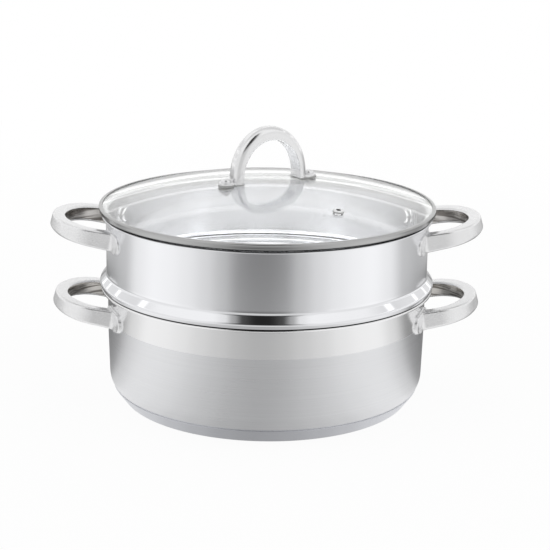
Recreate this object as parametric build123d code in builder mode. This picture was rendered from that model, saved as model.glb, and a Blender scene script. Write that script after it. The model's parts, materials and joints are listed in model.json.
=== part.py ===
from build123d import *
import os
from math import asin, atan2, cos, degrees, radians, sin, sqrt, tan

os.makedirs("parts", exist_ok=True)

# Steamer pot, lengths in mm. The origin is the centre of the foot, +Z is up,
# the four side handles lie on X, and the front is towards -Y.

# Sizes that the pot and the steamer tier share
body_radius = 141.0  # outside of both walls
sheet = 1.0  # thickness of both pressed bodies
lip_width = 6.0  # from the wall's outside to the lip's edge
rim_bend = 2.5  # turn from the wall into the lip, on the upper side
lip_bend = 2.0  # round outer edge of the lip
lip_drop = 2.4  # height of the lip's turned-down edge

# Pot
pot_height = 103.5
wall_taper = 1.4  # the wall's outside comes in by this much at the corner
pot_corner_bend = 20.0  # outside of the corner
taper_drop = 43.5  # the wall is straight from this far below the lip
taper_bend = 60.0

# Capsule base
core_thickness = 4.0
cap_sheet = 0.8
cap_foot_inset = 12.3  # from the wall's foot to the corner of the cap's inside
cap_bend = 3.0
cap_height = 12.8

# Steamer tier
tier_rise = 65.5  # from the pot's lip to the tier's lip
basket_gap = 1.6  # between the basket and the inside of the pot
basket_drop = 12.5  # underside of the perforated floor, below the pot's lip
basket_bend = 6.0
seat_bend = 2.0  # turn from the basket into the seat
seat_inset = 2.7  # outer end of the flat seat, inside the lip's edge
bead_rise = 1.9  # middle of the bead, above the pot's lip
bead_overhang = 1.4  # where the bead's two flanks would meet, past the lip's edge
bead_bend = 2.2
bead_foot_bend = 1.2
bead_height = 11.0  # where the upper flank meets the wall, above the pot's lip
bead_top_bend = 5.0
hole_diameter = 3.6
hole_ring_pitch = 10.5
hole_rings = 9
holes_per_ring = 6  # added with each ring

# Lid glass and its band
dome_radius = 497.0  # upper surface
dome_rise = 27.0  # top of the dome, above the tier's lip
glass_thickness = 4.0
glass_edge_inset = 1.4  # the glass's edge, inside the band's outer wall
glass_edge_round = 1.8
band_overhang = 1.0  # the band's outer wall, past the tier's lip
band_sheet = 0.8
band_fold_width = 3.0  # of the fold on top of the glass
band_step = 1.0  # the band's rim stays this far above the tier's lip
skirt_gap = 0.8  # between the skirt and the inside of the tier
skirt_depth = 5.5
skirt_bend = 1.6
band_bend = 1.5
band_low_bend = 1.4
band_step_inset = 3.0  # start of the step, inside the band's outer wall
band_step_width = 0.9
band_step_bend = 1.4
band_glass_gap = 0.06
seal_width = 4.4  # from the band's outer wall to the seal's inner edge
seal_height = 2.5
seal_step_inset = 0.8  # where the seal starts to rise over the band's step, inside the step's start
seal_step_width = 1.4
seal_shelf_gap = 0.2
seal_corner = 0.6
seal_glass_gap = 0.03

# Lid handle
lid_handle_turn = 29.0  # degrees round from the side handles
arch_width = 16.0
arch_half_width = 36.3  # outer surface at the feet
arch_inner_half_width = 28.0
arch_rise = 47.3  # top of the arch, above the dome
arch_thickness = 11.3  # at the top
arch_spring_rise = 4.0  # where the arch starts to curve, above the dome
arch_crown_round = 5.8
arch_edge_round = 0.9
foot_pad_thickness = 1.5  # at the screw
foot_thickness = 2.0
foot_radius = 6.5
foot_edge_round = 0.7
screw_place = 42.0  # from the lid's centre
screw_radius = 2.0
screw_head_radius = 4.5
screw_head_height = 3.0
screw_head_round = 2.6
screw_clearance = 0.2
glass_hole_clearance = 1.0
pad_overlap = 0.4
under_pad_radius = 7.0
under_pad_thickness = 1.4
washer_radius = 6.0
washer_thickness = 0.8
nut_flats = 7.0
nut_height = 3.2
screw_end = 1.4  # thread below the nut

# Steam vent
vent_place = 98.0
vent_turn = -54.8  # degrees round from +X
vent_bore = 2.0
vent_tube_radius = 2.8
vent_flange_radius = 4.5
vent_flange_thickness = 1.0
vent_flange_round = 0.45
vent_gasket_thickness = 0.7
vent_gasket_overlap = 0.4
vent_hole_clearance = 0.3
vent_washer_radius = 4.8
vent_washer_thickness = 1.0
vent_tail = 0.5

# Side handles
handle_tilt = 11.0  # degrees up towards the hand
handle_drop = 17.0  # middle of the tier's handle on the wall, below the tier's lip
pot_handle_drop = 21.0
handle_root_height = 15.5
handle_end_height = 12.0
handle_half_width = 50.5
handle_corner_bend = 34.0
handle_end_bend = 64.0
grip_half_width = 38.5
grip_corner_bend = 29.0
grip_end_bend = 42.0
steamer_handle_length = 49.6  # out from the wall
pot_handle_length = 48.6
handle_end_width = 12.0  # from the finger gap to the outside
foot_flare = 5.0  # round between the arm's outside and its foot
foot_inner_flare = 4.0
foot_reach = 64.0  # end of the foot, from the handle's middle
foot_plate = 2.6  # thickness of the foot on the wall
foot_plate_round = 1.1
foot_edge = 2.3  # height above the wall where the round meets the foot
outer_edge_round = 2.4
grip_edge_round = 3.2
handle_draft = 5.0  # degrees, the outside leans in towards the top

# Rivets
rivet_turn = 23.3  # degrees either side of the handle's middle
rivet_radius = 2.4
rivet_head_radius = 6.25
rivet_head_height = 2.0
rivet_head_round = 1.3
rivet_depth = 1.8  # into the handle's foot, from the wall's outside

overrun = 2.0
half_turn = 180

body_inside = body_radius - sheet
rim_radius = body_radius + lip_width
pot_foot_radius = body_radius - wall_taper
taper_top = pot_height - taper_drop
cap_foot_radius = pot_foot_radius - cap_foot_inset
steamer_height = pot_height + tier_rise
basket_radius = body_inside - basket_gap
basket_floor = pot_height - basket_drop
seat_radius = rim_radius - seat_inset
bead_reach = rim_radius + bead_overhang
dome_height = steamer_height + dome_rise
band_radius = rim_radius + band_overhang
band_inner_radius = band_radius - band_fold_width
band_step_radius = band_radius - band_step_inset
glass_edge_radius = band_radius - glass_edge_inset
skirt_radius = body_inside - skirt_gap
arch_top = dome_height + arch_rise
arch_inner_top = arch_top - arch_thickness
arch_spring = dome_height + arch_spring_rise
steamer_handle_height = steamer_height - handle_drop
pot_handle_height = pot_height - pot_handle_drop
pot_floor = cap_sheet + core_thickness
wall_lean = atan2(body_inside - pot_foot_radius + sheet, taper_top - pot_floor - sheet)
corner_inset = (pot_corner_bend - sheet) * (1 - sin(wall_lean)) / cos(wall_lean)
corner_centre = (pot_foot_radius - sheet - corner_inset, pot_floor + pot_corner_bend)
dome_centre = dome_height - dome_radius
inner_dome_radius = dome_radius - glass_thickness
lid_way = (cos(radians(lid_handle_turn)), sin(radians(lid_handle_turn)), 0)
rivet_height_drop = (body_radius - body_radius * cos(radians(rivet_turn))) * sin(radians(handle_tilt))


def finish_piece(piece, name):
    """Label a finished piece and write it."""
    piece.part.label = name
    export_step(piece.part, f"parts/{name}.step")


def radial_plane(turn, reach, height):
    """Plane square to a radius, its normal pointing away from the centre."""
    way = (cos(radians(turn)), sin(radians(turn)), 0)
    return Plane(origin=(reach * way[0], reach * way[1], height), x_dir=(-way[1], way[0], 0), z_dir=way)


def faceted_bends(points, bends, flats=3):
    """A path of straight lines in which each bend is cut into equal flats that touch its arc."""
    path = [points[0]]
    for before, corner, after, bend in zip(points, points[1:], points[2:], bends):
        way = (Vector(*corner) - Vector(*before)).normalized()
        way_out = (Vector(*after) - Vector(*corner)).normalized()
        turn = atan2(way.X * way_out.Y - way.Y * way_out.X, way.dot(way_out)) / flats
        half_flat = bend * tan(abs(turn) / 2)
        spot = Vector(*corner) - way * bend * tan(abs(turn) * flats / 2)
        for _ in range(flats):
            spot += way * half_flat
            path.append((spot.X, spot.Y))
            way = way.rotate(Axis.Z, degrees(turn))
            spot += way * half_flat
    return path + [points[-1]]


def rivet_turns(side):
    """The turns of one handle's two rivets; side is 1 on the right and -1 on the left."""
    return [rivet_turn - half_turn * (side < 0), -rivet_turn + half_turn * (side < 0)]


# Pot body: floor, corner, tapered wall and rolled lip
with BuildPart() as pot_body:
    with BuildSketch(Plane.XZ):
        with BuildLine():
            FilletPolyline(
                (0, pot_floor + sheet),
                (pot_foot_radius - sheet, pot_floor + sheet),
                (body_inside, taper_top),
                (body_inside, pot_height),
                (rim_radius, pot_height),
                (rim_radius, pot_height - lip_drop),
                radius=[pot_corner_bend - sheet, taper_bend, rim_bend, lip_bend],
            )
            offset(amount=sheet, side=Side.RIGHT)
        make_face()
    revolve(axis=Axis.Z)
    for side in (1, -1):
        for turn in rivet_turns(side):
            hole_height = pot_handle_height - rivet_height_drop
            with BuildSketch(radial_plane(turn, body_inside - overrun, hole_height)):
                Circle(rivet_radius)
            extrude(amount=sheet + 2 * overrun, mode=Mode.SUBTRACT)
finish_piece(pot_body, "pot_body")

# Capsule base: the cap's inside is one path, shared by the disc that fills it
cap_rim_inside = corner_centre[0] + sqrt(pot_corner_bend**2 - (corner_centre[1] - cap_height) ** 2)
cap_inside_points = [(0, cap_sheet), (cap_foot_radius, cap_sheet), (cap_rim_inside, cap_height)]
cap_contact = degrees(asin((corner_centre[1] - cap_height) / pot_corner_bend))

with BuildPart() as base_core:
    with BuildSketch(Plane.XZ):
        with BuildLine():
            FilletPolyline(*cap_inside_points, radius=cap_bend)
            CenterArc(corner_centre, pot_corner_bend, -cap_contact, cap_contact - 90)
            Polyline((corner_centre[0], pot_floor), (0, pot_floor), (0, cap_sheet))
        make_face()
    revolve(axis=Axis.Z)
finish_piece(base_core, "base_core")

with BuildPart() as base_cap:
    with BuildSketch(Plane.XZ):
        with BuildLine():
            FilletPolyline(*cap_inside_points, radius=cap_bend)
            offset(amount=cap_sheet, side=Side.RIGHT)
        make_face()
    revolve(axis=Axis.Z)
finish_piece(base_cap, "base_cap")

# Steamer tier: floor, basket, seat, bead, wall and lip, then the floor's holes
with BuildPart() as steamer_body:
    with BuildSketch(Plane.XZ):
        with BuildLine():
            FilletPolyline(
                (0, basket_floor),
                (basket_radius, basket_floor),
                (basket_radius, pot_height),
                (seat_radius, pot_height),
                (bead_reach, pot_height + bead_rise),
                (body_radius, pot_height + bead_height),
                (body_radius, steamer_height - sheet),
                (rim_radius - sheet, steamer_height - sheet),
                (rim_radius - sheet, steamer_height - lip_drop),
                radius=[
                    basket_bend,
                    seat_bend,
                    bead_foot_bend,
                    bead_bend,
                    bead_top_bend,
                    rim_bend - sheet,
                    lip_bend - sheet,
                ],
            )
            offset(amount=sheet, side=Side.LEFT)
        make_face()
    revolve(axis=Axis.Z)
    with BuildSketch(Plane.XY.offset(basket_floor - overrun)):
        Circle(hole_diameter / 2)
        for ring in range(1, hole_rings + 1):
            with PolarLocations(ring * hole_ring_pitch, ring * holes_per_ring):
                Circle(hole_diameter / 2)
    extrude(amount=sheet + 2 * overrun, mode=Mode.SUBTRACT)
    for side in (1, -1):
        for turn in rivet_turns(side):
            hole_height = steamer_handle_height - rivet_height_drop
            with BuildSketch(radial_plane(turn, body_inside - overrun, hole_height)):
                Circle(rivet_radius)
            extrude(amount=sheet + 2 * overrun, mode=Mode.SUBTRACT)
finish_piece(steamer_body, "steamer_body")


def handle_half(reach, half_width, corner_bend, end_bend):
    """Place of the corner arc's start and its turn, for an outline that ends at reach."""
    corner_start = reach - end_bend + sqrt((end_bend - corner_bend) ** 2 - (half_width - corner_bend) ** 2)
    end_turn = degrees(asin((half_width - corner_bend) / (end_bend - corner_bend)))
    return corner_start, end_turn


def side_handle(side, height, end):
    """One loop handle: a tilted, tapered slab round a finger gap, with feet that hug the wall."""
    tilt = radians(handle_tilt)
    middle = Plane(
        origin=(side * body_radius, 0, height),
        x_dir=(side * cos(tilt), 0, sin(tilt)),
        z_dir=(-side * sin(tilt), 0, cos(tilt)),
    )
    tip = end - handle_end_width
    corner, end_turn = handle_half(end, handle_half_width, handle_corner_bend, handle_end_bend)
    grip_corner, tip_turn = handle_half(tip, grip_half_width, grip_corner_bend, grip_end_bend)
    foot_top = handle_half_width + foot_flare
    foot_low = grip_half_width - foot_inner_flare
    outer_edge = sqrt(body_radius**2 - foot_top**2) - body_radius + foot_edge
    inner_edge = sqrt(body_radius**2 - foot_low**2) - body_radius + foot_edge
    bury = outer_edge - foot_edge - overrun
    with BuildPart() as handle:
        half_height = handle_root_height / 2 + overrun
        with BuildSketch(middle.offset(-half_height)):
            with BuildLine():
                Line((bury, foot_top), (outer_edge, foot_top))
                flare = JernArc((outer_edge, foot_top), (0, -1), foot_flare, 90)
                arm = Line(flare @ 1, (corner, handle_half_width))
                bend = JernArc(arm @ 1, arm % 1, handle_corner_bend, end_turn - 90)
                JernArc(bend @ 1, bend % 1, handle_end_bend, -end_turn)
                Line((end, 0), (tip, 0))
                grip_end = JernArc((tip, 0), (0, 1), grip_end_bend, tip_turn)
                grip_bend = JernArc(grip_end @ 1, grip_end % 1, grip_corner_bend, 90 - tip_turn)
                grip_arm = Line(grip_bend @ 1, (inner_edge + foot_inner_flare, grip_half_width))
                JernArc(grip_arm @ 1, (-1, 0), foot_inner_flare, 90)
                Polyline((inner_edge, foot_low), (bury, foot_low), (bury, foot_top))
            make_face()
            mirror(about=Plane.XZ)
            offset(amount=half_height * tan(radians(handle_draft)), kind=Kind.INTERSECTION)
        extrude(amount=2 * half_height, taper=handle_draft)
        slope = (handle_root_height - handle_end_height) / 2 / end
        low_end, high_end = bury - overrun, end + overrun
        side_view = Plane(origin=middle.origin, x_dir=middle.x_dir, z_dir=-middle.y_dir)
        with BuildSketch(side_view):
            with BuildLine():
                Polyline(
                    (low_end, -handle_root_height / 2 + slope * low_end),
                    (high_end, -handle_root_height / 2 + slope * high_end),
                    (high_end, handle_root_height / 2 - slope * high_end),
                    (low_end, handle_root_height / 2 - slope * low_end),
                    close=True,
                )
            make_face()
        extrude(amount=handle_half_width + foot_flare + overrun, both=True, mode=Mode.INTERSECT)

        # Round the long edges, then cut the feet to the wall and drill them for the rivets
        edge_rounds = ((False, grip_edge_round, inner_edge), (True, outer_edge_round, outer_edge))
        for round_outside, edge_round, start in edge_rounds:
            edges = []
            for face in handle.faces().filter_by(GeomType.PLANE).sort_by(SortBy.AREA)[-2:]:
                for edge in face.edges():
                    spot = middle.to_local_coords(edge.center())
                    wall_middle = (handle_half_width + grip_half_width) / 2
                    outside = abs(spot.Y) > wall_middle or spot.X > (end + tip) / 2
                    if outside == round_outside and spot.X > start:
                        edges.append(edge)
            fillet(edges, edge_round)
        foot_height = handle_root_height - 2 * slope * outer_edge
        foot_view = Plane(origin=middle.origin, x_dir=middle.y_dir, z_dir=middle.x_dir)
        with BuildPart(mode=Mode.PRIVATE) as feet:
            with BuildSketch(foot_view.offset(bury - foot_height)):
                SlotOverall(2 * foot_reach, foot_height)
                Rectangle(2 * foot_low, 2 * foot_height, mode=Mode.SUBTRACT)
            extrude(amount=2 * foot_height)
            with BuildSketch(Plane.XY.offset(height - 2 * handle_root_height)):
                Circle(body_radius + foot_plate)
            extrude(amount=4 * handle_root_height, mode=Mode.INTERSECT)
            outside_edges = [
                edge
                for face in feet.faces().filter_by(GeomType.CYLINDER)
                if abs(face.radius - body_radius - foot_plate) < 0.01
                for edge in face.edges()
                if abs(edge.center().Y) > foot_low + 1
            ]
            fillet(outside_edges, foot_plate_round)
        add(feet.part)
        with BuildSketch(Plane.XY.offset(height - 2 * handle_root_height)):
            Circle(body_radius)
        extrude(amount=4 * handle_root_height, mode=Mode.SUBTRACT)
        for turn in rivet_turns(side):
            with BuildSketch(radial_plane(turn, body_radius - overrun, height - rivet_height_drop)):
                Circle(rivet_radius)
            extrude(amount=overrun + rivet_depth, mode=Mode.SUBTRACT)
    return handle


def handle_rivets(side, height, body):
    """One handle's two rivets: domed heads that hug the wall's inside, shanks into the feet."""
    with BuildPart() as rivets:
        for turn in rivet_turns(side):
            with BuildSketch(radial_plane(turn, body_inside - rivet_head_height, height - rivet_height_drop)):
                Circle(rivet_head_radius)
            extrude(amount=rivet_head_height + sheet / 2)
            fillet(rivets.edges(Select.LAST).group_by(SortBy.DISTANCE)[0], rivet_head_round)
            with BuildSketch(radial_plane(turn, body_inside - sheet, height - rivet_height_drop)):
                Circle(rivet_radius)
            extrude(amount=2 * sheet + rivet_depth)
        add(body.part, mode=Mode.SUBTRACT)
    return rivets


handle_sizes = {
    "pot": (pot_handle_height, pot_handle_length, pot_body),
    "steamer": (steamer_handle_height, steamer_handle_length, steamer_body),
}
for owner, (height, length, body) in handle_sizes.items():
    for side_name, side in (("left", -1), ("right", 1)):
        finish_piece(side_handle(side, height, length), f"{owner}_handle_{side_name}")
        finish_piece(handle_rivets(side, height, body), f"{owner}_rivets_{side_name}")


def dome_at(radius, sphere_radius):
    """Height of the glass's upper or lower surface at a distance from the centre."""
    return dome_centre + sqrt(sphere_radius**2 - radius**2)


def screw_spots():
    """The two screws' places on the lid, as (x, y)."""
    return [(side * screw_place * lid_way[0], side * screw_place * lid_way[1]) for side in (-1, 1)]


# Lid glass: a thick dome with a rounded edge, two screw holes and a vent hole
edge_turn = degrees(asin(glass_edge_radius / dome_radius))
vent_lean = asin(vent_place / dome_radius)
vent_way = (
    sin(vent_lean) * cos(radians(vent_turn)),
    sin(vent_lean) * sin(radians(vent_turn)),
    cos(vent_lean),
)
vent_plane = Plane(
    origin=(dome_radius * vent_way[0], dome_radius * vent_way[1], dome_centre + dome_radius * vent_way[2]),
    x_dir=(-sin(radians(vent_turn)), cos(radians(vent_turn)), 0),
    z_dir=vent_way,
)
foot_bottom = dome_at(screw_place, dome_radius) + foot_pad_thickness
under_pad_bottom = dome_at(screw_place, inner_dome_radius) - under_pad_thickness
washer_bottom = under_pad_bottom - washer_thickness
nut_bottom = washer_bottom - nut_height

with BuildPart() as lid_glass:
    with BuildSketch(Plane.XZ) as glass_section:
        with BuildLine():
            upper = CenterArc((0, dome_centre), dome_radius, 90, -edge_turn)
            lower = CenterArc((0, dome_centre), inner_dome_radius, 90, -edge_turn)
            Line(upper @ 0, lower @ 0)
            Line(upper @ 1, lower @ 1)
        make_face()
        fillet(glass_section.vertices().sort_by(Axis.X)[-2:], glass_edge_round)
    revolve(axis=Axis.Z)
    with BuildSketch(Plane.XY.offset(foot_bottom)):
        with Locations(*screw_spots()):
            Circle(screw_radius + glass_hole_clearance)
    extrude(amount=under_pad_bottom - foot_bottom, mode=Mode.SUBTRACT)
    with BuildSketch(vent_plane.offset(overrun)):
        Circle(vent_tube_radius + vent_hole_clearance)
    extrude(amount=-glass_thickness - 2 * overrun, mode=Mode.SUBTRACT)
finish_piece(lid_glass, "lid_glass")

# Lid band: skirt inside the tier, seat on its lip, and a rim folded over the glass's edge.
# Its bends are cut into flats, because a torus as narrow as these meshes badly.
top_turn = asin(band_inner_radius / dome_radius)
band_top = dome_at(band_inner_radius, dome_radius) + (band_sheet + band_glass_gap) / cos(top_turn)
with BuildPart() as lid_band:
    with BuildSketch(Plane.XZ):
        with BuildLine():
            band_points = [
                (skirt_radius, steamer_height - skirt_depth),
                (skirt_radius, steamer_height),
                (band_step_radius, steamer_height),
                (band_step_radius + band_step_width, steamer_height + band_step),
                (band_radius, steamer_height + band_step),
                (band_radius, band_top),
                (band_inner_radius, band_top),
            ]
            band_bends = [skirt_bend, band_step_bend, band_step_bend, band_low_bend, band_bend]
            Polyline(*faceted_bends(band_points, band_bends))
            offset(amount=band_sheet, side=Side.LEFT, kind=Kind.INTERSECTION)
        make_face()
    revolve(axis=Axis.Z)
finish_piece(lid_band, "lid_band")

# Lid seal: fills the band's channel below and beside the glass's edge
with BuildPart() as lid_seal:
    with BuildSketch(Plane.XZ):
        with BuildLine():
            seal_bottom = steamer_height + band_sheet
            seal_inner_radius = band_radius - seal_width
            seal_rise = band_step_radius - seal_step_inset
            seal_shelf = seal_bottom + band_step + seal_shelf_gap
            seal_outer = band_radius - band_sheet
            Polyline(
                (seal_inner_radius, seal_bottom),
                (seal_rise, seal_bottom),
                (seal_rise + seal_step_width, seal_shelf),
                (seal_outer - seal_corner, seal_shelf),
                (seal_outer, seal_shelf + seal_corner),
                (seal_outer, seal_bottom + seal_height),
                (seal_inner_radius, seal_bottom + seal_height),
                close=True,
            )
        make_face()
        with BuildLine():
            inner_reach = seal_inner_radius - overrun
            across, along = sin(radians(edge_turn)), cos(radians(edge_turn))
            sharp_edge = [
                (
                    reach * across + seal_glass_gap * along,
                    dome_centre + reach * along - seal_glass_gap * across,
                )
                for reach in (inner_dome_radius - seal_glass_gap, dome_radius + seal_glass_gap)
            ]
            edge_points = [
                (inner_reach, dome_at(inner_reach, inner_dome_radius - seal_glass_gap)),
                *sharp_edge,
                (inner_reach, dome_at(inner_reach, dome_radius)),
            ]
            Polyline(*faceted_bends(edge_points, [glass_edge_round] * 2), close=True)
        make_face(mode=Mode.SUBTRACT)
    revolve(axis=Axis.Z)
finish_piece(lid_seal, "lid_seal")

# Lid handle: a crowned arch with straight legs and a flat foot turned out at each end
handle_plane = Plane(origin=(0, 0, 0), x_dir=lid_way, z_dir=(lid_way[1], -lid_way[0], 0))
foot_plane = Plane(origin=(0, 0, foot_bottom), x_dir=lid_way, z_dir=(0, 0, 1))
with BuildPart() as lid_handle:
    with BuildSketch(handle_plane):
        with BuildLine():
            for half_width, top in ((arch_half_width, arch_top), (arch_inner_half_width, arch_inner_top)):
                EllipticalCenterArc((0, arch_spring), half_width, top - arch_spring, 0, arc_size=half_turn)
            for side in (1, -1):
                Polyline(
                    (side * arch_half_width, arch_spring),
                    (side * arch_half_width, foot_bottom),
                    (side * arch_inner_half_width, foot_bottom),
                    (side * arch_inner_half_width, arch_spring),
                )
        make_face()
    extrude(amount=arch_width / 2, both=True)
    for round_outside, edge_round in ((False, arch_edge_round), (True, arch_crown_round)):
        edges = []
        for face in lid_handle.faces().filter_by(GeomType.PLANE).sort_by(SortBy.AREA)[-2:]:
            for edge in face.edges():
                spot = handle_plane.to_local_coords(edge.center())
                on_leg = abs(spot.X) > (arch_half_width + arch_inner_half_width) / 2
                outside = on_leg or spot.Y > (arch_inner_top + arch_top) / 2
                if outside == round_outside and spot.Y - foot_bottom > foot_thickness / 2:
                    edges.append(edge)
        fillet(edges, edge_round)
    with BuildSketch(foot_plane):
        for side in (-1, 1):
            with Locations((side * (screw_place + arch_inner_half_width) / 2, 0)):
                Rectangle(screw_place - arch_inner_half_width, 2 * foot_radius)
            with Locations((side * screw_place, 0)):
                Circle(foot_radius)
    extrude(amount=foot_thickness)
    foot_ends = [
        edge
        for edge in lid_handle.edges().filter_by(GeomType.CIRCLE)
        if abs(edge.center().Z - foot_bottom - foot_thickness) < foot_edge_round / 2
        and abs(edge.radius - foot_radius) < foot_edge_round
    ]
    fillet(foot_ends, foot_edge_round)
    with BuildSketch(foot_plane):
        with Locations((-screw_place, 0), (screw_place, 0)):
            Circle(screw_radius + screw_clearance)
    extrude(amount=foot_thickness, mode=Mode.SUBTRACT)
finish_piece(lid_handle, "lid_handle")

# Pads under the feet: flat on top, curved below to lie on the glass
with BuildPart() as lid_handle_pads:
    with BuildSketch(foot_plane) as footprint:
        leg_middle = (arch_half_width + arch_inner_half_width) / 2
        for side in (-1, 1):
            with Locations((side * leg_middle, 0)):
                Rectangle(arch_half_width - arch_inner_half_width, arch_width)
            with Locations((side * (screw_place + arch_inner_half_width) / 2, 0)):
                Rectangle(screw_place - arch_inner_half_width, 2 * foot_radius)
            with Locations((side * screw_place, 0)):
                Circle(foot_radius)
        offset(amount=pad_overlap)
        with Locations((-screw_place, 0), (screw_place, 0)):
            Circle(screw_radius + screw_clearance, mode=Mode.SUBTRACT)
    extrude(amount=-glass_thickness)
    with Locations((0, 0, dome_centre)):
        Sphere(dome_radius, mode=Mode.SUBTRACT)
finish_piece(lid_handle_pads, "lid_handle_pads")

with BuildPart() as lid_handle_screws:
    with BuildSketch(foot_plane.offset(foot_thickness)):
        with Locations((-screw_place, 0), (screw_place, 0)):
            Circle(screw_head_radius)
    extrude(amount=screw_head_height)
    fillet(lid_handle_screws.edges().group_by(Axis.Z)[-1], screw_head_round)
    with BuildSketch(foot_plane.offset(foot_thickness)):
        with Locations((-screw_place, 0), (screw_place, 0)):
            Circle(screw_radius)
    extrude(amount=nut_bottom - screw_end - foot_bottom - foot_thickness)
finish_piece(lid_handle_screws, "lid_handle_screws")

# Pads, washers and nuts below the glass; the pads' tops are curved to lie against it
with BuildPart() as lid_handle_under_pads:
    with BuildSketch(Plane.XY.offset(under_pad_bottom)):
        with Locations(*screw_spots()):
            Circle(under_pad_radius)
            Circle(screw_radius + screw_clearance, mode=Mode.SUBTRACT)
    extrude(amount=glass_thickness)
    with Locations((0, 0, dome_centre)):
        Sphere(inner_dome_radius, mode=Mode.INTERSECT)
finish_piece(lid_handle_under_pads, "lid_handle_under_pads")

with BuildPart() as lid_handle_washers:
    with BuildSketch(Plane.XY.offset(washer_bottom)):
        with Locations(*screw_spots()):
            Circle(washer_radius)
            Circle(screw_radius + screw_clearance, mode=Mode.SUBTRACT)
    extrude(amount=washer_thickness)
finish_piece(lid_handle_washers, "lid_handle_washers")

with BuildPart() as lid_handle_nuts:
    with BuildSketch(Plane.XY.offset(nut_bottom)):
        with Locations(*screw_spots()):
            RegularPolygon(nut_flats / 2, 6, major_radius=False, rotation=lid_handle_turn)
            Circle(screw_radius, mode=Mode.SUBTRACT)
    extrude(amount=nut_height)
finish_piece(lid_handle_nuts, "lid_handle_nuts")

# Steam vent: a flanged tube through the glass, a gasket above and a washer below
with BuildPart() as vent_eyelet:
    with BuildSketch(vent_plane.offset(vent_gasket_thickness)):
        Circle(vent_flange_radius)
    extrude(amount=vent_flange_thickness)
    fillet(vent_eyelet.edges().group_by(Axis(vent_plane.origin, vent_plane.z_dir))[-1], vent_flange_round)
    with BuildSketch(vent_plane.offset(vent_gasket_thickness)):
        Circle(vent_tube_radius)
    extrude(amount=-vent_gasket_thickness - glass_thickness - vent_washer_thickness - vent_tail)
    with BuildSketch(vent_plane.offset(vent_gasket_thickness + vent_flange_thickness)):
        Circle(vent_bore)
    extrude(amount=-2 * (glass_thickness + vent_washer_thickness), mode=Mode.SUBTRACT)
finish_piece(vent_eyelet, "vent_eyelet")

with BuildPart() as vent_gasket:
    with BuildSketch(vent_plane.offset(vent_gasket_thickness)):
        Circle(vent_flange_radius + vent_gasket_overlap)
        Circle(vent_tube_radius, mode=Mode.SUBTRACT)
    extrude(amount=-2 * vent_gasket_thickness)
    with Locations((0, 0, dome_centre)):
        Sphere(dome_radius, mode=Mode.SUBTRACT)
finish_piece(vent_gasket, "vent_gasket")

with BuildPart() as vent_washer:
    with BuildSketch(vent_plane.offset(-glass_thickness - vent_washer_thickness)):
        Circle(vent_washer_radius)
        Circle(vent_tube_radius, mode=Mode.SUBTRACT)
    extrude(amount=2 * vent_washer_thickness)
    with Locations((0, 0, dome_centre)):
        Sphere(inner_dome_radius, mode=Mode.INTERSECT)
finish_piece(vent_washer, "vent_washer")
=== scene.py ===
import json
import math
import bmesh
import bpy
from mathutils import Matrix, Vector


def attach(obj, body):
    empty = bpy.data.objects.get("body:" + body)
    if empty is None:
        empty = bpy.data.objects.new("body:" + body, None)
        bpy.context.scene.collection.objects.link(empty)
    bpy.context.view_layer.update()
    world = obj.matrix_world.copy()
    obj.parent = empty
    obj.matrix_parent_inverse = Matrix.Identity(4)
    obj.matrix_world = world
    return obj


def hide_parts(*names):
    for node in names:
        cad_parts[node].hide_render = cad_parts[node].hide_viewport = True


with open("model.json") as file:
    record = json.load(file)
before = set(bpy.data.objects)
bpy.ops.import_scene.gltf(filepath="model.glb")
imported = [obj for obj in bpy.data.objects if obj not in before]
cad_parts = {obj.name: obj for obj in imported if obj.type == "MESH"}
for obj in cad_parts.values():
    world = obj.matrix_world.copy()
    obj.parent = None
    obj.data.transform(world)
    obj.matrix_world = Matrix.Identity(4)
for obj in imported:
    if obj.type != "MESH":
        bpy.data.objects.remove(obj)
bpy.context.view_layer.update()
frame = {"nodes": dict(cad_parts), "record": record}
nodes = frame["nodes"]
bodyOf = {node: body for body, members in frame["record"]["behaviour"]["bodies"].items() for node in members}
scene = bpy.context.scene
mm = 0.001

# Camera: stands a little left of the front and looks down on the pot
camera = {
    "place": (0.0, -1.3773, 0.4942),
    "turn": -1.75,  # degrees round the pot
    "tiltDown": 15.97,
    "roll": 0.76,
    "lens": 104.92,
    "shift": (0.0155, 0.0174),
}
cameraData = bpy.data.cameras.new("camera")
cameraData.lens = camera["lens"]
cameraData.sensor_width = 36
cameraData.shift_x, cameraData.shift_y = camera["shift"]
cameraObject = bpy.data.objects.new("camera", cameraData)
scene.collection.objects.link(cameraObject)
cameraObject.matrix_world = (
    Matrix.Rotation(math.radians(camera["turn"]), 4, "Z")
    @ Matrix.Translation(camera["place"])
    @ Matrix.Rotation(math.radians(90 - camera["tiltDown"]), 4, "X")
    @ Matrix.Rotation(math.radians(camera["roll"]), 4, "Z")
)
scene.camera = cameraObject
print("camera set")


# Small helpers for node trees
def link(tree, source, target):
    tree.links.new(source, target)


def mathNode(tree, operation, first, second=None, clamp=False):
    node = tree.nodes.new("ShaderNodeMath")
    node.operation = operation
    node.use_clamp = clamp
    for socket, value in zip(node.inputs, (first, second)):
        if value is None:
            continue
        if isinstance(value, (int, float)):
            socket.default_value = value
        else:
            link(tree, value, socket)
    return node.outputs[0]


def rampNode(tree, factor, stops):
    node = tree.nodes.new("ShaderNodeValToRGB")
    ramp = node.color_ramp
    ramp.interpolation = "EASE"
    ramp.elements.remove(ramp.elements[1])
    for index, (position, tone) in enumerate(stops):
        element = ramp.elements.new(position) if index else ramp.elements[0]
        element.position = position
        element.color = (tone, tone, tone, 1)
    link(tree, factor, node.inputs["Fac"])
    return node.outputs["Color"]


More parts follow.
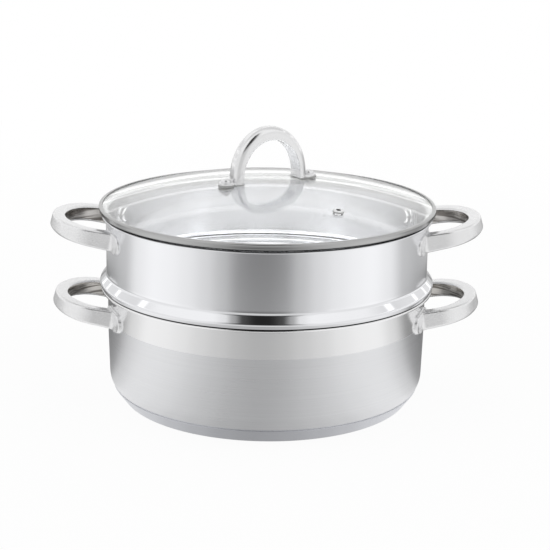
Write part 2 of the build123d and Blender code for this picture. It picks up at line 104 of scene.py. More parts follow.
def rangeNode(tree, value, fromLow, fromHigh, toLow=0.0, toHigh=1.0):
    node = tree.nodes.new("ShaderNodeMapRange")
    node.interpolation_type = "SMOOTHSTEP"
    for socket, setting in zip(node.inputs[1:5], (fromLow, fromHigh, toLow, toHigh)):
        socket.default_value = setting
    link(tree, value, node.inputs["Value"])
    return node.outputs["Result"]


def mixColour(tree, factor, first, second, blend="MIX"):
    node = tree.nodes.new("ShaderNodeMix")
    node.data_type = "RGBA"
    node.blend_type = blend
    for name, kind, value in (("Factor", "VALUE", factor), ("A", "RGBA", first), ("B", "RGBA", second)):
        socket = next(socket for socket in node.inputs if socket.name == name and socket.type == kind)
        if isinstance(value, (int, float)):
            socket.default_value = value
        elif isinstance(value, tuple):
            socket.default_value = (*value, 1)
        else:
            link(tree, value, socket)
    return next(socket for socket in node.outputs if socket.type == "RGBA")


def noiseNode(tree, place, scale, detail=2.0, roughness=0.5):
    node = tree.nodes.new("ShaderNodeTexNoise")
    for name, value in (("Vector", place), ("Scale", scale), ("Detail", detail), ("Roughness", roughness)):
        if isinstance(value, (int, float)):
            node.inputs[name].default_value = value
        else:
            link(tree, value, node.inputs[name])
    return node.outputs["Fac"]


def splitPlace(tree, place):
    # gives the place's three parts and its distance from the pot's upright axis
    parts = tree.nodes.new("ShaderNodeSeparateXYZ")
    link(tree, place, parts.inputs[0])
    across = mathNode(tree, "POWER", parts.outputs["X"], 2.0)
    along = mathNode(tree, "POWER", parts.outputs["Y"], 2.0)
    reach = mathNode(tree, "SQRT", mathNode(tree, "ADD", across, along))
    return parts.outputs, reach


def mixShaders(tree, share, first, second):
    node = tree.nodes.new("ShaderNodeMixShader")
    for socket, source in zip(node.inputs, (share, first, second)):
        link(tree, source, socket)
    return node.outputs[0]


def bumpNode(tree, height, strength, distance):
    node = tree.nodes.new("ShaderNodeBump")
    node.inputs["Strength"].default_value = strength
    node.inputs["Distance"].default_value = distance
    link(tree, height, node.inputs["Height"])
    return node.outputs["Normal"]


# Shared group: rings left by turning and brushing, and a faint handling haze
grainPattern = {
    "sockets": {"Lines": 900.0, "Line Amount": 0.5, "Haze Scale": 14.0, "Haze Amount": 0.5, "Grain": 0.0},
    "lineDetail": 3.0,
    "lineRoughness": 0.65,
    "hazeDetail": 4.0,
    "speckScale": 2600.0,
    "toneShare": 0.35,  # how much of the pattern shows in the colour
    "depth": 0.02 * mm,
}


def makeBrushGroup():
    group = bpy.data.node_groups.new("turnedGrain", "ShaderNodeTree")
    interface = group.interface
    interface.new_socket("Vector", in_out="INPUT", socket_type="NodeSocketVector")
    for name, value in grainPattern["sockets"].items():
        interface.new_socket(name, in_out="INPUT", socket_type="NodeSocketFloat").default_value = value
    for name in ("Tone", "Rough", "Height"):
        interface.new_socket(name, in_out="OUTPUT", socket_type="NodeSocketFloat")
    start = group.nodes.new("NodeGroupInput").outputs
    end = group.nodes.new("NodeGroupOutput").inputs
    parts, reach = splitPlace(group, start["Vector"])
    turnedPlace = group.nodes.new("ShaderNodeCombineXYZ")
    link(group, mathNode(group, "MULTIPLY", reach, start["Lines"]), turnedPlace.inputs["X"])
    link(group, mathNode(group, "MULTIPLY", parts["Z"], start["Lines"]), turnedPlace.inputs["Y"])
    link(group, mathNode(group, "ARCTAN2", parts["Y"], parts["X"]), turnedPlace.inputs["Z"])
    lineDetail, lineRoughness = grainPattern["lineDetail"], grainPattern["lineRoughness"]
    lines = noiseNode(group, turnedPlace.outputs[0], 1.0, lineDetail, lineRoughness)
    haze = noiseNode(group, start["Vector"], start["Haze Scale"], grainPattern["hazeDetail"])
    speck = noiseNode(group, start["Vector"], grainPattern["speckScale"])
    lineWave, hazeWave, speckWave = (mathNode(group, "SUBTRACT", wave, 0.5) for wave in (lines, haze, speck))
    lineShare = mathNode(group, "MULTIPLY", lineWave, start["Line Amount"])
    hazeShare = mathNode(group, "MULTIPLY", hazeWave, start["Haze Amount"])
    speckShare = mathNode(group, "MULTIPLY", speckWave, start["Grain"])
    fine = mathNode(group, "ADD", lineShare, speckShare)
    both = mathNode(group, "ADD", fine, hazeShare)
    toneWave = mathNode(group, "MULTIPLY", both, grainPattern["toneShare"])
    link(group, mathNode(group, "ADD", toneWave, 1.0), end["Tone"])
    link(group, mathNode(group, "ADD", both, 1.0), end["Rough"])
    link(group, fine, end["Height"])
    return group


brushGroup = makeBrushGroup()

# Finishes of the metals: colour, roughness, and how much the turning rings, haze and grain show
metalFinishes = {
    "potSteel": {
        "colour": (0.815, 0.82, 0.835), "rough": 0.30,
        "lines": 2600.0, "lineAmount": 0.45, "haze": 0.25, "bump": 0.10,
    },
    "tierSteel": {
        "colour": (0.86, 0.865, 0.885), "rough": 0.17,
        "lines": 1500.0, "lineAmount": 0.10, "haze": 0.20, "bump": 0.0,
    },
    # a paler, partly matte copy of the steel for the inner faces: painted light
    "brightenedInsideSteel": {
        "colour": (0.95, 0.95, 0.955), "rough": 0.08, "metal": 0.72,
        "lines": 1700.0, "lineAmount": 0.15, "haze": 0.30, "bump": 0.02,
    },
    # near-black steel for the walls of the floor's holes: painted shade
    "holeShadeSteel": {
        "colour": (0.16, 0.16, 0.165), "rough": 0.30,
        "lines": 1700.0, "lineAmount": 0.25, "haze": 0.30, "bump": 0.0,
    },
    "capSteel": {
        "colour": (0.69, 0.70, 0.735), "rough": 0.36,
        "lines": 2200.0, "lineAmount": 0.45, "haze": 0.25, "bump": 0.08,
    },
    "coreMetal": {
        "colour": (0.72, 0.72, 0.73), "rough": 0.42,
        "lines": 900.0, "lineAmount": 0.50, "haze": 0.40, "bump": 0.10,
    },
    "handleSteel": {
        "colour": (0.88, 0.88, 0.885), "rough": 0.27, "metal": 0.82,
        "lines": 700.0, "lineAmount": 0.0, "haze": 0.45, "bump": 0.0, "grain": 0.25,
    },
    # darker steel on the inside of the handle loop, facing the pot: painted shade
    "gripShadeSteel": {
        "colour": (0.62, 0.60, 0.57), "rough": 0.20,
        "lines": 700.0, "lineAmount": 0.0, "haze": 0.50, "bump": 0.06, "grain": 0.50,
    },
    "rivetSteel": {
        "colour": (0.84, 0.84, 0.84), "rough": 0.16,
        "lines": 700.0, "lineAmount": 0.0, "haze": 0.35, "bump": 0.04, "grain": 0.45,
    },
    "bandSteel": {
        "colour": (0.47, 0.472, 0.47), "rough": 0.20,
        "lines": 2400.0, "lineAmount": 0.20, "haze": 0.20, "bump": 0.04,
    },
    "archSteel": {
        "colour": (0.83, 0.83, 0.835), "rough": 0.17,
        "lines": 700.0, "lineAmount": 0.0, "haze": 0.45, "bump": 0.0, "grain": 0.20,
    },
    "screwSteel": {
        "colour": (0.84, 0.84, 0.845), "rough": 0.18,
        "lines": 700.0, "lineAmount": 0.0, "haze": 0.35, "bump": 0.04, "grain": 0.55,
    },
}
polishEdge = {"height": 76.5 * mm, "blend": 0.35 * mm, "colour": (0.93, 0.93, 0.935), "rough": 0.17}
# hardly any light gets into the narrow gaps: heights from dark to clear, for what lies outside the reach
gapShade = {
    "reach": 145.2 * mm,
    "blend": 0.4 * mm,
    "tone": (0.012, 0.012, 0.013),
    "heights": {
        "potSteel": [(103.4 * mm, 102.3 * mm)],
        "tierSteel": [(103.9 * mm, 104.5 * mm), (169.0 * mm, 168.8 * mm)],
        "bandSteel": [(169.9 * mm, 170.2 * mm)],
    },
}
beadPolish = {"low": 116.0 * mm, "high": 119.0 * mm, "rough": 0.06}
gripStreaks = {
    "stretch": (22.0, 22.0, 420.0),
    "detail": 3.0,
    "start": 0.56,
    "full": 0.42,
    "dark": (0.20, 0.185, 0.17),
}


def newMaterial(name):
    material = bpy.data.materials.new(name)
    material.use_nodes = True
    tree = material.node_tree
    shader = next(node for node in tree.nodes if node.type == "BSDF_PRINCIPLED")
    place = tree.nodes.new("ShaderNodeTexCoord").outputs["Object"]
    return material, tree, shader, place


def placeGrain(tree, place, settings):
    grain = tree.nodes.new("ShaderNodeGroup")
    grain.node_tree = brushGroup
    link(tree, place, grain.inputs["Vector"])
    grain.inputs["Lines"].default_value = settings["lines"]
    grain.inputs["Line Amount"].default_value = settings["lineAmount"]
    grain.inputs["Haze Amount"].default_value = settings["haze"]
    grain.inputs["Grain"].default_value = settings.get("grain", 0.0)
    return grain.outputs


def addPolish(tree, height, baseColour, rough, settings):
    # the pot's wall is polished above the satin part
    low, high = polishEdge["height"] - polishEdge["blend"], polishEdge["height"] + polishEdge["blend"]
    polished = rangeNode(tree, height, low, high)
    gain = mathNode(tree, "MULTIPLY", polished, settings["rough"] - polishEdge["rough"])
    return (
        mixColour(tree, polished, baseColour, polishEdge["colour"]),
        mathNode(tree, "SUBTRACT", rough, gain, clamp=True),
    )


def addStreaks(tree, place, baseColour):
    # dark streaks run along the inside of the loop, over its painted shade
    stretch = tree.nodes.new("ShaderNodeMapping")
    stretch.inputs["Scale"].default_value = gripStreaks["stretch"]
    link(tree, place, stretch.inputs["Vector"])
    streaks = noiseNode(tree, stretch.outputs[0], 1.0, gripStreaks["detail"])
    share = rangeNode(tree, streaks, gripStreaks["start"], gripStreaks["full"])
    return mixColour(tree, share, baseColour, gripStreaks["dark"])


def addGapShade(tree, height, reach, baseColour, edges):
    # painted shade: a near-black colour laid into the narrow gaps, outside the reach
    outside = rangeNode(tree, reach, gapShade["reach"], gapShade["reach"] + gapShade["blend"])
    for dark, clear in edges:
        shade = mathNode(tree, "MULTIPLY", rangeNode(tree, height, clear, dark), outside)
        baseColour = mixColour(tree, shade, baseColour, gapShade["tone"])
    return baseColour


def metalMaterial(name):
    settings = metalFinishes[name]
    material, tree, shader, place = newMaterial(name)
    grain = placeGrain(tree, place, settings)
    parts, reach = splitPlace(tree, place)
    height = parts["Z"]
    colour = tree.nodes.new("ShaderNodeCombineXYZ")
    for axis, level in zip("XYZ", settings["colour"]):
        link(tree, mathNode(tree, "MULTIPLY", grain["Tone"], level), colour.inputs[axis])
    baseColour = colour.outputs[0]
    rough = mathNode(tree, "MULTIPLY", grain["Rough"], settings["rough"], clamp=True)
    if name == "potSteel":
        baseColour, rough = addPolish(tree, height, baseColour, rough, settings)
    if name == "gripShadeSteel":
        baseColour = addStreaks(tree, place, baseColour)
    if name in gapShade["heights"]:
        baseColour = addGapShade(tree, height, reach, baseColour, gapShade["heights"][name])
    if name == "tierSteel":  # the bead is polished brighter than the wall above it
        low, high = beadPolish["low"], beadPolish["high"]
        dull = rangeNode(tree, height, low, high, beadPolish["rough"], settings["rough"])
        rough = mathNode(tree, "MULTIPLY", grain["Rough"], dull, clamp=True)
    link(tree, baseColour, shader.inputs["Base Color"])
    link(tree, rough, shader.inputs["Roughness"])
    shader.inputs["Metallic"].default_value = settings.get("metal", 1.0)
    if settings["bump"]:
        normal = bumpNode(tree, grain["Height"], settings["bump"], grainPattern["depth"])
        link(tree, normal, shader.inputs["Normal"])
    return material


metals = {name: metalMaterial(name) for name in metalFinishes}

glassFinish = {
    "clear": (0.965, 0.975, 0.972),
    "hazed": (0.98, 0.98, 0.98),
    "rough": 0.004,
    "hazedRough": 0.016,
    "hazeScale": 16.0,
    "hazeDetail": 5.0,
    "hazeStart": 0.45,
    "hazeFull": 0.8,
    "index": 1.5,
    "shadowTint": (0.93, 0.94, 0.94, 1),
}
siliconeFinish = {
    "dark": (0.40, 0.40, 0.395),
    "light": (0.52, 0.52, 0.515),
    "smoothest": 0.36,
    "roughest": 0.50,
    "speckScale": 900.0,
    "speckDetail": 3.0,
    "bump": 0.15,
    "depth": 0.05 * mm,
}


def glassMaterial():
    material, tree, shader, place = newMaterial("clearGlass")
    haze = noiseNode(tree, place, glassFinish["hazeScale"], glassFinish["hazeDetail"])
    start, full = glassFinish["hazeStart"], glassFinish["hazeFull"]
    rough = rangeNode(tree, haze, start, full, glassFinish["rough"], glassFinish["hazedRough"])
    link(tree, rough, shader.inputs["Roughness"])
    link(tree, mixColour(tree, haze, glassFinish["clear"], glassFinish["hazed"]), shader.inputs["Base Color"])
    shader.inputs["IOR"].default_value = glassFinish["index"]
    shader.inputs["Transmission Weight"].default_value = 1.0
    shader.inputs["Metallic"].default_value = 0.0
    # lamps light what is under the glass, so it throws only a faint shadow
    clear = tree.nodes.new("ShaderNodeBsdfTransparent")
    clear.inputs["Color"].default_value = glassFinish["shadowTint"]
    shadow = tree.nodes.new("ShaderNodeLightPath").outputs["Is Shadow Ray"]
    output = next(node for node in tree.nodes if node.type == "OUTPUT_MATERIAL")
    link(tree, mixShaders(tree, shadow, shader.outputs[0], clear.outputs[0]), output.inputs["Surface"])
    return material


def siliconeMaterial():
    material, tree, shader, place = newMaterial("paleSilicone")
    speck = noiseNode(tree, place, siliconeFinish["speckScale"], siliconeFinish["speckDetail"])
    colour = mixColour(tree, speck, siliconeFinish["dark"], siliconeFinish["light"])
    rough = rangeNode(tree, speck, 0.3, 0.7, siliconeFinish["smoothest"], siliconeFinish["roughest"])
    link(tree, colour, shader.inputs["Base Color"])
    link(tree, rough, shader.inputs["Roughness"])
    normal = bumpNode(tree, speck, siliconeFinish["bump"], siliconeFinish["depth"])
    link(tree, normal, shader.inputs["Normal"])
    return material


clearGlass = glassMaterial()
paleSilicone = siliconeMaterial()
print("finishes made")


# Mesh helpers
sharpAngle = {"turned": 32, "copied": 60}  # in degrees: an edge that turns more stays sharp


def shadeByAngle(shape, limit):
    for face in shape.faces:
        face.smooth = True
    for edge in shape.edges:
        edge.smooth = not (len(edge.link_faces) == 2 and edge.calc_face_angle() > math.radians(limit))


def addPiece(name, shape, materials, node, limit=sharpAngle["turned"]):
    shadeByAngle(shape, limit)
    mesh = bpy.data.meshes.new(name)
    shape.to_mesh(mesh)
    shape.free()
    for material in materials:
        mesh.materials.append(material)
    piece = bpy.data.objects.new(name, mesh)
    scene.collection.objects.link(piece)
    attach(piece, bodyOf[node])
    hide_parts(node)
    return piece


def bendPath(shape, points, bends, segments):
    verts = [shape.verts.new((x * mm, 0, z * mm)) for x, z in points]
    for first, second in zip(verts, verts[1:]):
        shape.edges.new((first, second))
    corners = list(zip(points, points[1:], points[2:], verts[1:], bends))
    for before, corner, after, vert, bend in corners:
        if not bend:
            continue
        way = Vector(corner) - Vector(before)
        turn = way.angle(Vector(after) - Vector(corner))
        reach = bend * math.tan(turn / 2)
        count = max(2, round(segments * turn / math.radians(90)))
        bmesh.ops.bevel(
            shape, geom=[vert], offset=reach * mm, offset_type="OFFSET", affect="VERTICES",
            segments=count, profile=0.5, material=-1,
        )


turnSteps = 240


def turnRound(shape, steps):
    bmesh.ops.spin(
        shape, geom=shape.verts[:] + shape.edges[:], cent=(0, 0, 0), axis=(0, 0, 1), dvec=(0, 0, 0),
        angle=math.tau, steps=steps, use_merge=True, use_duplicate=False,
    )
    bmesh.ops.remove_doubles(shape, verts=shape.verts[:], dist=0.002 * mm)
    bmesh.ops.recalc_face_normals(shape, faces=shape.faces[:])


def pressedShell(points, bends, sheet, segments=10, steps=turnSteps):
    # the path is one face of the sheet, and the sheet lies on its left or, below zero, its right
    shape = bmesh.new()
    bendPath(shape, points, bends, segments)
    turnRound(shape, steps)
    rightSide = [face for face in shape.faces if face.calc_center_median().x > 0]
    wall = max(rightSide, key=lambda face: abs(face.normal.x) * face.calc_area())
    if wall.normal.x < 0:
        bmesh.ops.reverse_faces(shape, faces=shape.faces[:])
    bmesh.ops.solidify(shape, geom=shape.faces[:], thickness=sheet * mm)
    bmesh.ops.recalc_face_normals(shape, faces=shape.faces[:])
    return shape


def cutHoles(piece, cutters):
    # cutters is a mesh of plugs; what they fill is taken out of the piece
    mesh = bpy.data.meshes.new("plugs")
    cutters.to_mesh(mesh)
    cutters.free()
    plugs = bpy.data.objects.new("plugs", mesh)
    scene.collection.objects.link(plugs)
    modifier = piece.modifiers.new("holes", "BOOLEAN")
    modifier.operation = "DIFFERENCE"
    modifier.solver = "EXACT"
    modifier.object = plugs
    cut = bpy.data.meshes.new_from_object(piece.evaluated_get(bpy.context.evaluated_depsgraph_get()))
    piece.modifiers.clear()
    before = piece.data
    piece.data = cut
    bpy.data.objects.remove(plugs)
    bpy.data.meshes.remove(before)
    cut.name = piece.name
    shape = bmesh.new()
    shape.from_mesh(cut)
    shadeByAngle(shape, sharpAngle["turned"])
    shape.to_mesh(cut)
    shape.free()


def plug(shape, radius, low, high, matrix, sides):
    middle = Matrix.Translation((0, 0, (high + low) / 2 * mm))
    bmesh.ops.create_cone(
        shape, cap_ends=True, segments=sides, radius1=radius * mm, radius2=radius * mm,
        depth=(high - low) * mm, matrix=matrix @ middle,
    )


def markInside(shape, insideOf):
    # the first material is on the outside and the second on the inside
    for face in shape.faces:
        face.material_index = int(insideOf(face.calc_center_median(), face.normal))


insideLimit = {"wall": -0.35, "floor": 0.8}


def facesAxis(spot, normal):
    # true for a wall's inner side and for a floor's upper side
    outward = spot.x * normal.x + spot.y * normal.y
    return outward < insideLimit["wall"] * math.hypot(spot.x, spot.y) or normal.z > insideLimit["floor"]


# Pot: the path is the inside of the sheet, from the floor's middle up to the turned-down lip
pot = {
    "path": [(0, 5.8), (138.6, 5.8), (140, 60), (140, 103.5), (147, 103.5), (147, 101.1)],
    "bends": [19.0, 60.0, 2.5, 2.0],
    "sheet": 1.0,
    "insideTop": 102.0,
}
potShape = pressedShell(pot["path"], pot["bends"], -pot["sheet"], segments=14)
markInside(potShape, lambda spot, normal: facesAxis(spot, normal) and spot.z < pot["insideTop"] * mm)
addPiece("potShell", potShape, [metals["potSteel"], metals["brightenedInsideSteel"]], "pot_body")

baseCap = {"path": [(0, 0.8), (127.3, 0.8), (136.085, 12.8)], "bends": [3.0], "sheet": 0.8}
capShape = pressedShell(baseCap["path"], baseCap["bends"], -baseCap["sheet"])
addPiece("baseCapShell", capShape, [metals["capSteel"]], "base_cap")
nodes["base_core"].data.materials.clear()
nodes["base_core"].data.materials.append(metals["coreMetal"])
print("pot and base made")

# Steamer tier: as on the pot, the path is the inside of the sheet, from the floor's middle to the lip
tier = {
    "path": [
        (0, 91.0), (138.4, 91.0), (138.4, 103.5), (144.3, 103.5), (148.4, 105.4),
        (141.0, 114.5), (141.0, 168.0), (146.0, 168.0), (146.0, 166.6),
    ],
    "bends": [6.0, 2.0, 1.2, 2.9, 5.0, 1.5, 1.0],
    "sheet": 1.0,
    "holeRadius": 1.8,
    "ringPitch": 10.5,
    "rings": 9,
    "holesPerRing": 6,
    "plugHeights": (89.0, 94.0),
    "holesReach": 100.0,
    "holeSlope": 0.3,
    "insideReach": 140.3,  # the floor and the basket are painted brighter than the wall: painted light
}
tierShape = pressedShell(tier["path"], tier["bends"], -tier["sheet"], segments=12)
markInside(
    tierShape,
    lambda spot, normal: facesAxis(spot, normal) and math.hypot(spot.x, spot.y) < tier["insideReach"] * mm,
)
tierSteels = [metals["tierSteel"], metals["brightenedInsideSteel"], metals["holeShadeSteel"]]
tierPiece = addPiece("tierShell", tierShape, tierSteels, "steamer_body")
floorPlugs = bmesh.new()
for ring in range(tier["rings"] + 1):
    holes = max(1, ring * tier["holesPerRing"])
    ringReach = Matrix.Translation((ring * tier["ringPitch"] * mm, 0, 0))
    for hole in range(holes):
        spot = Matrix.Rotation(math.tau * hole / holes, 4, "Z") @ ringReach
        plug(floorPlugs, tier["holeRadius"], *tier["plugHeights"], spot, sides=16)
cutHoles(tierPiece, floorPlugs)
for face in tierPiece.data.polygons:  # the holes' own walls get a near-black steel: painted shade
    upright = abs(face.normal.z) < tier["holeSlope"]
    if upright and math.hypot(face.center.x, face.center.y) < tier["holesReach"] * mm:
        face.material_index = 2
print("steamer tier made")

# Lid: glass dome and the band that is folded round its edge
dome = {"radius": 497.0, "top": 196.0, "thickness": 4.0, "edge": 146.6, "edgeRound": 1.8, "steps": 40}
lidHoles = {
    "screwReach": 42.0, "screwTurn": 29.0, "screwHole": 3.0, "screwPlug": (180, 205),
    "ventReach": 98.0, "ventTurn": -54.8, "ventHole": 3.1, "ventPlug": (489.0, 501.0), "sides": 32,
}
domeCentre = (0, 0, (dome["top"] - dome["radius"]) * mm)
edgeTurn = math.asin(dome["edge"] / dome["radius"])


def arcFrom(shape, vert, angle):
    result = bmesh.ops.spin(
        shape, geom=[vert], cent=domeCentre, axis=(0, 1, 0), dvec=(0, 0, 0), angle=angle, steps=dome["steps"],
        use_merge=False, use_duplicate=False,
    )
    return next(part for part in result["geom_last"] if isinstance(part, bmesh.types.BMVert))


glassShape = bmesh.new()
topVert = glassShape.verts.new((0, 0, dome["top"] * mm))
upperEdge = arcFrom(glassShape, topVert, edgeTurn)
lowerEdge = bmesh.ops.extrude_vert_indiv(glassShape, verts=[upperEdge])["verts"][0]
lowerEdge.co += (Vector(domeCentre) - upperEdge.co).normalized() * dome["thickness"] * mm
arcFrom(glassShape, lowerEdge, -edgeTurn)
for corner in (upperEdge, lowerEdge):
    bmesh.ops.bevel(
        glassShape, geom=[corner], offset=dome["edgeRound"] * mm, offset_type="OFFSET", affect="VERTICES",
        segments=6, profile=0.5, material=-1,
    )
turnRound(glassShape, turnSteps)
glassPiece = addPiece("domeGlass", glassShape, [clearGlass], "lid_glass")
lidPlugs = bmesh.new()
for side in (0, 180):
    turn = Matrix.Rotation(math.radians(lidHoles["screwTurn"] + side), 4, "Z")
    spot = turn @ Matrix.Translation((lidHoles["screwReach"] * mm, 0, 0))
    plug(lidPlugs, lidHoles["screwHole"], *lidHoles["screwPlug"], spot, lidHoles["sides"])
ventLean = math.asin(lidHoles["ventReach"] / dome["radius"])
ventSpot = (
    Matrix.Rotation(math.radians(lidHoles["ventTurn"]), 4, "Z")
    @ Matrix.Translation(domeCentre)
    @ Matrix.Rotation(ventLean, 4, "Y")
)
plug(lidPlugs, lidHoles["ventHole"], *lidHoles["ventPlug"], ventSpot, lidHoles["sides"])
cutHoles(glassPiece, lidPlugs)

band = {
    "path": [
        (139.2, 163.5), (139.2, 169), (145.0, 169), (145.9, 170),
        (148, 170), (148, 175.28), (145.0, 175.28),
    ],
    "bends": [1.6, 1.4, 1.4, 1.4, 1.5],
    "sheet": 0.8,
}
bandShape = pressedShell(band["path"], band["bends"], band["sheet"], segments=10)
addPiece("lidBandShell", bandShape, [metals["bandSteel"]], "lid_band")
print("lid made")

# Pieces that keep the CAD shape: a merged, smoothly shaded copy of each node
copiedPieces = {
    "handleSteel": ["pot_handle_left", "pot_handle_right", "steamer_handle_left", "steamer_handle_right"],
    "rivetSteel": ["pot_rivets_left", "pot_rivets_right", "steamer_rivets_left", "steamer_rivets_right"],
    "archSteel": ["lid_handle"],
    "screwSteel": [
        "lid_handle_screws", "lid_handle_washers", "lid_handle_nuts", "vent_eyelet", "vent_washer",
    ],
    "paleSilicone": ["lid_handle_pads", "lid_handle_under_pads", "vent_gasket", "lid_seal"],
}


def camelName(node):
    first, *rest = node.split("_")
    return first + "".join(word.capitalize() for word in rest) + "Smooth"


gripWall = {"centre": 155.0, "halfWidth": 42.0, "root": 142.0, "reach": 181.5, "slopeLimit": 0.45}
copied = {"mergeDistance": 0.0005 * mm, "normalWeight": 80}


def markGripWall(shape):
    # the side of the finger gap, facing the pot, gets a darker steel than the outside: painted shade
    for face in shape.faces:
        spot = face.calc_center_median()
        alongLoop = gripWall["root"] * mm < abs(spot.x) < gripWall["reach"] * mm
        near = alongLoop and abs(spot.y) < gripWall["halfWidth"] * mm
        out = Vector((spot.x - math.copysign(gripWall["centre"] * mm, spot.x), spot.y, 0))
        upright = abs(face.normal.z) < gripWall["slopeLimit"]
        face.material_index = int(near and upright and out.dot(face.normal) < 0)


for finish, members in copiedPieces.items():
    for node in members:
        shape = bmesh.new()
        shape.from_mesh(nodes[node].data)
        bmesh.ops.remove_doubles(shape, verts=shape.verts[:], dist=copied["mergeDistance"])
        bmesh.ops.dissolve_degenerate(shape, edges=shape.edges[:], dist=copied["mergeDistance"])
        materials = [paleSilicone if finish == "paleSilicone" else metals[finish]]
        if finish == "handleSteel":
            materials.append(metals["gripShadeSteel"])
            markGripWall(shape)
        piece = addPiece(camelName(node), shape, materials, node, sharpAngle["copied"])
        weighted = piece.modifiers.new("evenNormals", "WEIGHTED_NORMAL")
        weighted.keep_sharp = True
        weighted.weight = copied["normalWeight"]
print("handles and fittings made")

# Stage: a pale floor under a white sky; mirrors see a studio that is darker in front
studio = {
    "floorSize": 9.0,
    "leastReach": 0.0001,  # keeps the direction defined at the middle
    "floorColour": 0.88,
    "shadowShare": 0.06,
    "shadowReach": (0.35, 1.4),
    "mirrorStrength": 1.1,
    "throughGlass": 1.0,
    "lampPower": 3.6,
    "lampAim": (0, 0, 0.12),
    "turn": -4.7,  # degrees that the dark front of the studio is turned to the left
}
lamps = {  # place and width
    "leftLamp": ((-1.7, -0.5, 1.1), 1.3),
    "rightLamp": ((1.7, -0.4, 1.1), 1.3),
    "topLamp": ((0.0, 0.3, 2.2), 1.6),
}
# brightness by direction round the pot: 0 is behind it and 1 is in front of it
nearFloorStops = [
    (0.0, 0.24), (0.083, 0.20), (0.212, 0.18), (0.372, 0.27), (0.517, 0.67), (0.643, 0.84),
    (0.75, 0.82), (0.84, 0.75), (0.91, 0.64), (0.96, 0.55), (0.99, 0.46), (1.0, 0.42),
]
farFloorStops = [
    (0.0, 0.52), (0.083, 0.50), (0.212, 0.48), (0.372, 0.57), (0.517, 0.89), (0.643, 0.98),
    (0.75, 0.94), (0.84, 0.86), (0.91, 0.72), (0.96, 0.51), (0.99, 0.30), (1.0, 0.25),
]
skyStops = [
    (0.0, 0.76), (0.30, 0.74), (0.55, 1.0), (0.85, 1.0),
    (0.91, 0.86), (0.945, 0.42), (0.975, 0.07), (1.0, 0.02),
]
# how far out the far stops hold, where the floor turns pale again, and a dark spot straight in front
floorReach = {
    "farStart": 0.46, "farFull": 0.60, "farEnd": 0.76, "nearAgain": 1.0,
    "paleStart": 0.9, "paleFull": 1.5, "paleShare": 0.5, "paleTone": (0.88, 0.88, 0.88),
    "spotStart": 0.56, "spotMiddle": 0.67, "spotEnd": 0.76,
    "spotEdge": 0.955, "spotFull": 0.998, "spotTone": (0.55, 0.55, 0.55),
}
# by the height of the direction: pale near the ground and overhead
skyHeight = {
    "lowClear": 0.62, "lowFull": 0.36, "lowShare": 0.8, "lowTone": (0.86, 0.86, 0.86),
    "overheadStart": 0.93, "overheadFull": 0.995, "overheadTone": (0.95, 0.95, 0.95),
}
# bright strips behind the pot: height of the direction, half width, and how much they add
skyStrips = [(0.05, 0.022, 0.7), (0.16, 0.018, 0.6), (0.30, 0.022, 0.7), (0.52, 0.03, 0.7)]
stripsFrom = {"none": 0.55, "full": 0.35, "softShare": 0.3}  # by direction, as in the stops above


def frontShare(tree, parts, reach):
    # 1 where the direction or place lies straight in front, 0 straight behind
    turn = math.radians(studio["turn"])
    across = mathNode(tree, "MULTIPLY", parts["X"], math.sin(turn))
    along = mathNode(tree, "MULTIPLY", parts["Y"], -math.cos(turn))
    ahead = mathNode(tree, "ADD", across, along)
    facing = mathNode(tree, "DIVIDE", ahead, mathNode(tree, "MAXIMUM", reach, studio["leastReach"]))
    return mathNode(tree, "ADD", mathNode(tree, "MULTIPLY", facing, 0.5), 0.5)


def mirroredFloor(tree, front, reach):
    near = rampNode(tree, front, nearFloorStops)
    far = rampNode(tree, front, farFloorStops)
    farther = mathNode(
        tree, "MULTIPLY",
        rangeNode(tree, reach, floorReach["farStart"], floorReach["farFull"]),
        rangeNode(tree, reach, floorReach["nearAgain"], floorReach["farEnd"]),
    )
    tone = mixColour(tree, farther, near, far)
    paleStart, paleFull = floorReach["paleStart"], floorReach["paleFull"]
    pale = rangeNode(tree, reach, paleStart, paleFull, 0.0, floorReach["paleShare"])
    tone = mixColour(tree, pale, tone, floorReach["paleTone"])
    spot = mathNode(
        tree, "MULTIPLY",
        rangeNode(tree, reach, floorReach["spotStart"], floorReach["spotMiddle"]),
        rangeNode(tree, reach, floorReach["spotEnd"], floorReach["spotMiddle"]),
    )
    ahead = rangeNode(tree, front, floorReach["spotEdge"], floorReach["spotFull"])
    spot = mathNode(tree, "MULTIPLY", spot, ahead)
    return mixColour(tree, spot, tone, mixColour(tree, 1.0, tone, floorReach["spotTone"], "MULTIPLY"))


def makeFloor():
    shape = bmesh.new()
    bmesh.ops.create_circle(shape, cap_ends=True, segments=64, radius=studio["floorSize"])
    mesh = bpy.data.meshes.new("floor")
    shape.to_mesh(mesh)
    shape.free()
    floor = bpy.data.objects.new("floor", mesh)
    scene.collection.objects.link(floor)
    material = bpy.data.materials.new("paleFloor")
    material.use_nodes = True
    tree = material.node_tree
    tree.nodes.clear()
    place = tree.nodes.new("ShaderNodeTexCoord").outputs["Object"]
    parts, reach = splitPlace(tree, place)
    front = frontShare(tree, parts, reach)
    paint = tree.nodes.new("ShaderNodeBsdfDiffuse")
    paint.inputs["Color"].default_value = (studio["floorColour"],) * 3 + (1,)
    white = tree.nodes.new("ShaderNodeEmission")
    clear = rangeNode(tree, reach, *studio["shadowReach"], 1 - studio["shadowShare"], 1.0)
    seen = mixShaders(tree, clear, paint.outputs[0], white.outputs[0])
    mirrored = tree.nodes.new("ShaderNodeEmission")
    link(tree, mirroredFloor(tree, front, reach), mirrored.inputs["Color"])
    mirrored.inputs["Strength"].default_value = studio["mirrorStrength"]
    path = tree.nodes.new("ShaderNodeLightPath").outputs
    plain = mathNode(tree, "MAXIMUM", path["Is Camera Ray"], path["Is Transmission Ray"])
    lit = mixShaders(tree, path["Is Glossy Ray"], paint.outputs[0], mirrored.outputs[0])
    output = tree.nodes.new("ShaderNodeOutputMaterial")
    link(tree, mixShaders(tree, plain, lit, seen), output.inputs["Surface"])
    mesh.materials.append(material)


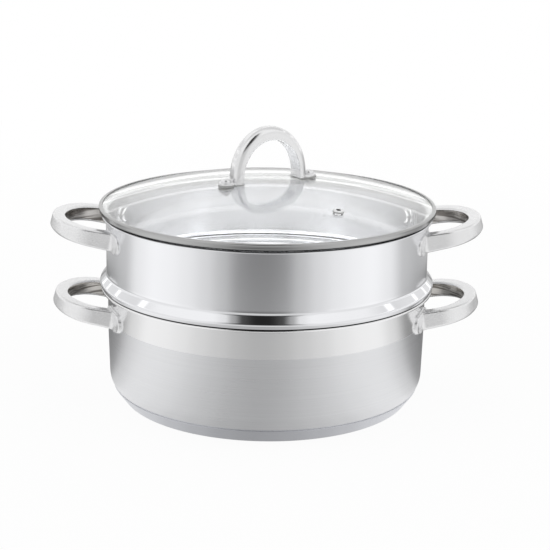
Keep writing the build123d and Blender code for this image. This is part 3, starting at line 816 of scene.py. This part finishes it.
def makeSky():
    world = bpy.data.worlds.new("studio")
    scene.world = world
    world.use_nodes = True
    tree = world.node_tree
    tree.nodes.clear()
    place = tree.nodes.new("ShaderNodeTexCoord").outputs["Generated"]
    parts, reach = splitPlace(tree, place)
    front, height = frontShare(tree, parts, reach), parts["Z"]
    low = rangeNode(tree, height, skyHeight["lowClear"], skyHeight["lowFull"], 0.0, skyHeight["lowShare"])
    overhead = rangeNode(tree, height, skyHeight["overheadStart"], skyHeight["overheadFull"])
    tone = mixColour(tree, low, rampNode(tree, front, skyStops), skyHeight["lowTone"])
    tone = mixColour(tree, overhead, tone, skyHeight["overheadTone"])
    studioSky = tree.nodes.new("ShaderNodeBackground")
    link(tree, tone, studioSky.inputs["Color"])
    behind = rangeNode(tree, front, stripsFrom["none"], stripsFrom["full"])
    glow = 1.0
    for middle, half, gain in skyStrips:
        offset = mathNode(tree, "ABSOLUTE", mathNode(tree, "SUBTRACT", height, middle))
        across = rangeNode(tree, offset, half, half * stripsFrom["softShare"], 0.0, gain)
        glow = mathNode(tree, "ADD", mathNode(tree, "MULTIPLY", across, behind), glow)
    link(tree, glow, studioSky.inputs["Strength"])
    white = tree.nodes.new("ShaderNodeBackground")
    path = tree.nodes.new("ShaderNodeLightPath").outputs
    plain = mathNode(tree, "MAXIMUM", path["Is Camera Ray"], path["Is Transmission Ray"])
    throughGlass = mathNode(tree, "MULTIPLY", path["Is Transmission Ray"], studio["throughGlass"])
    link(tree, mathNode(tree, "ADD", throughGlass, 1.0), white.inputs["Strength"])
    output = tree.nodes.new("ShaderNodeOutputWorld")
    sky = mixShaders(tree, plain, studioSky.outputs[0], white.outputs[0])
    link(tree, sky, output.inputs["Surface"])


def addLamp(name, place, width):
    data = bpy.data.lights.new(name, "AREA")
    data.shape = "DISK"
    data.size = width
    data.energy = studio["lampPower"]
    lamp = bpy.data.objects.new(name, data)
    scene.collection.objects.link(lamp)
    lamp.visible_glossy = False  # the polished bead mirrors the sky alone
    aim = (Vector(studio["lampAim"]) - Vector(place)).to_track_quat("-Z", "Y")
    lamp.matrix_world = Matrix.Translation(place) @ aim.to_matrix().to_4x4()


makeFloor()
makeSky()
for lampName, (lampPlace, lampWidth) in lamps.items():
    addLamp(lampName, lampPlace, lampWidth)
scene.view_settings.view_transform = "Standard"
print("stage set")
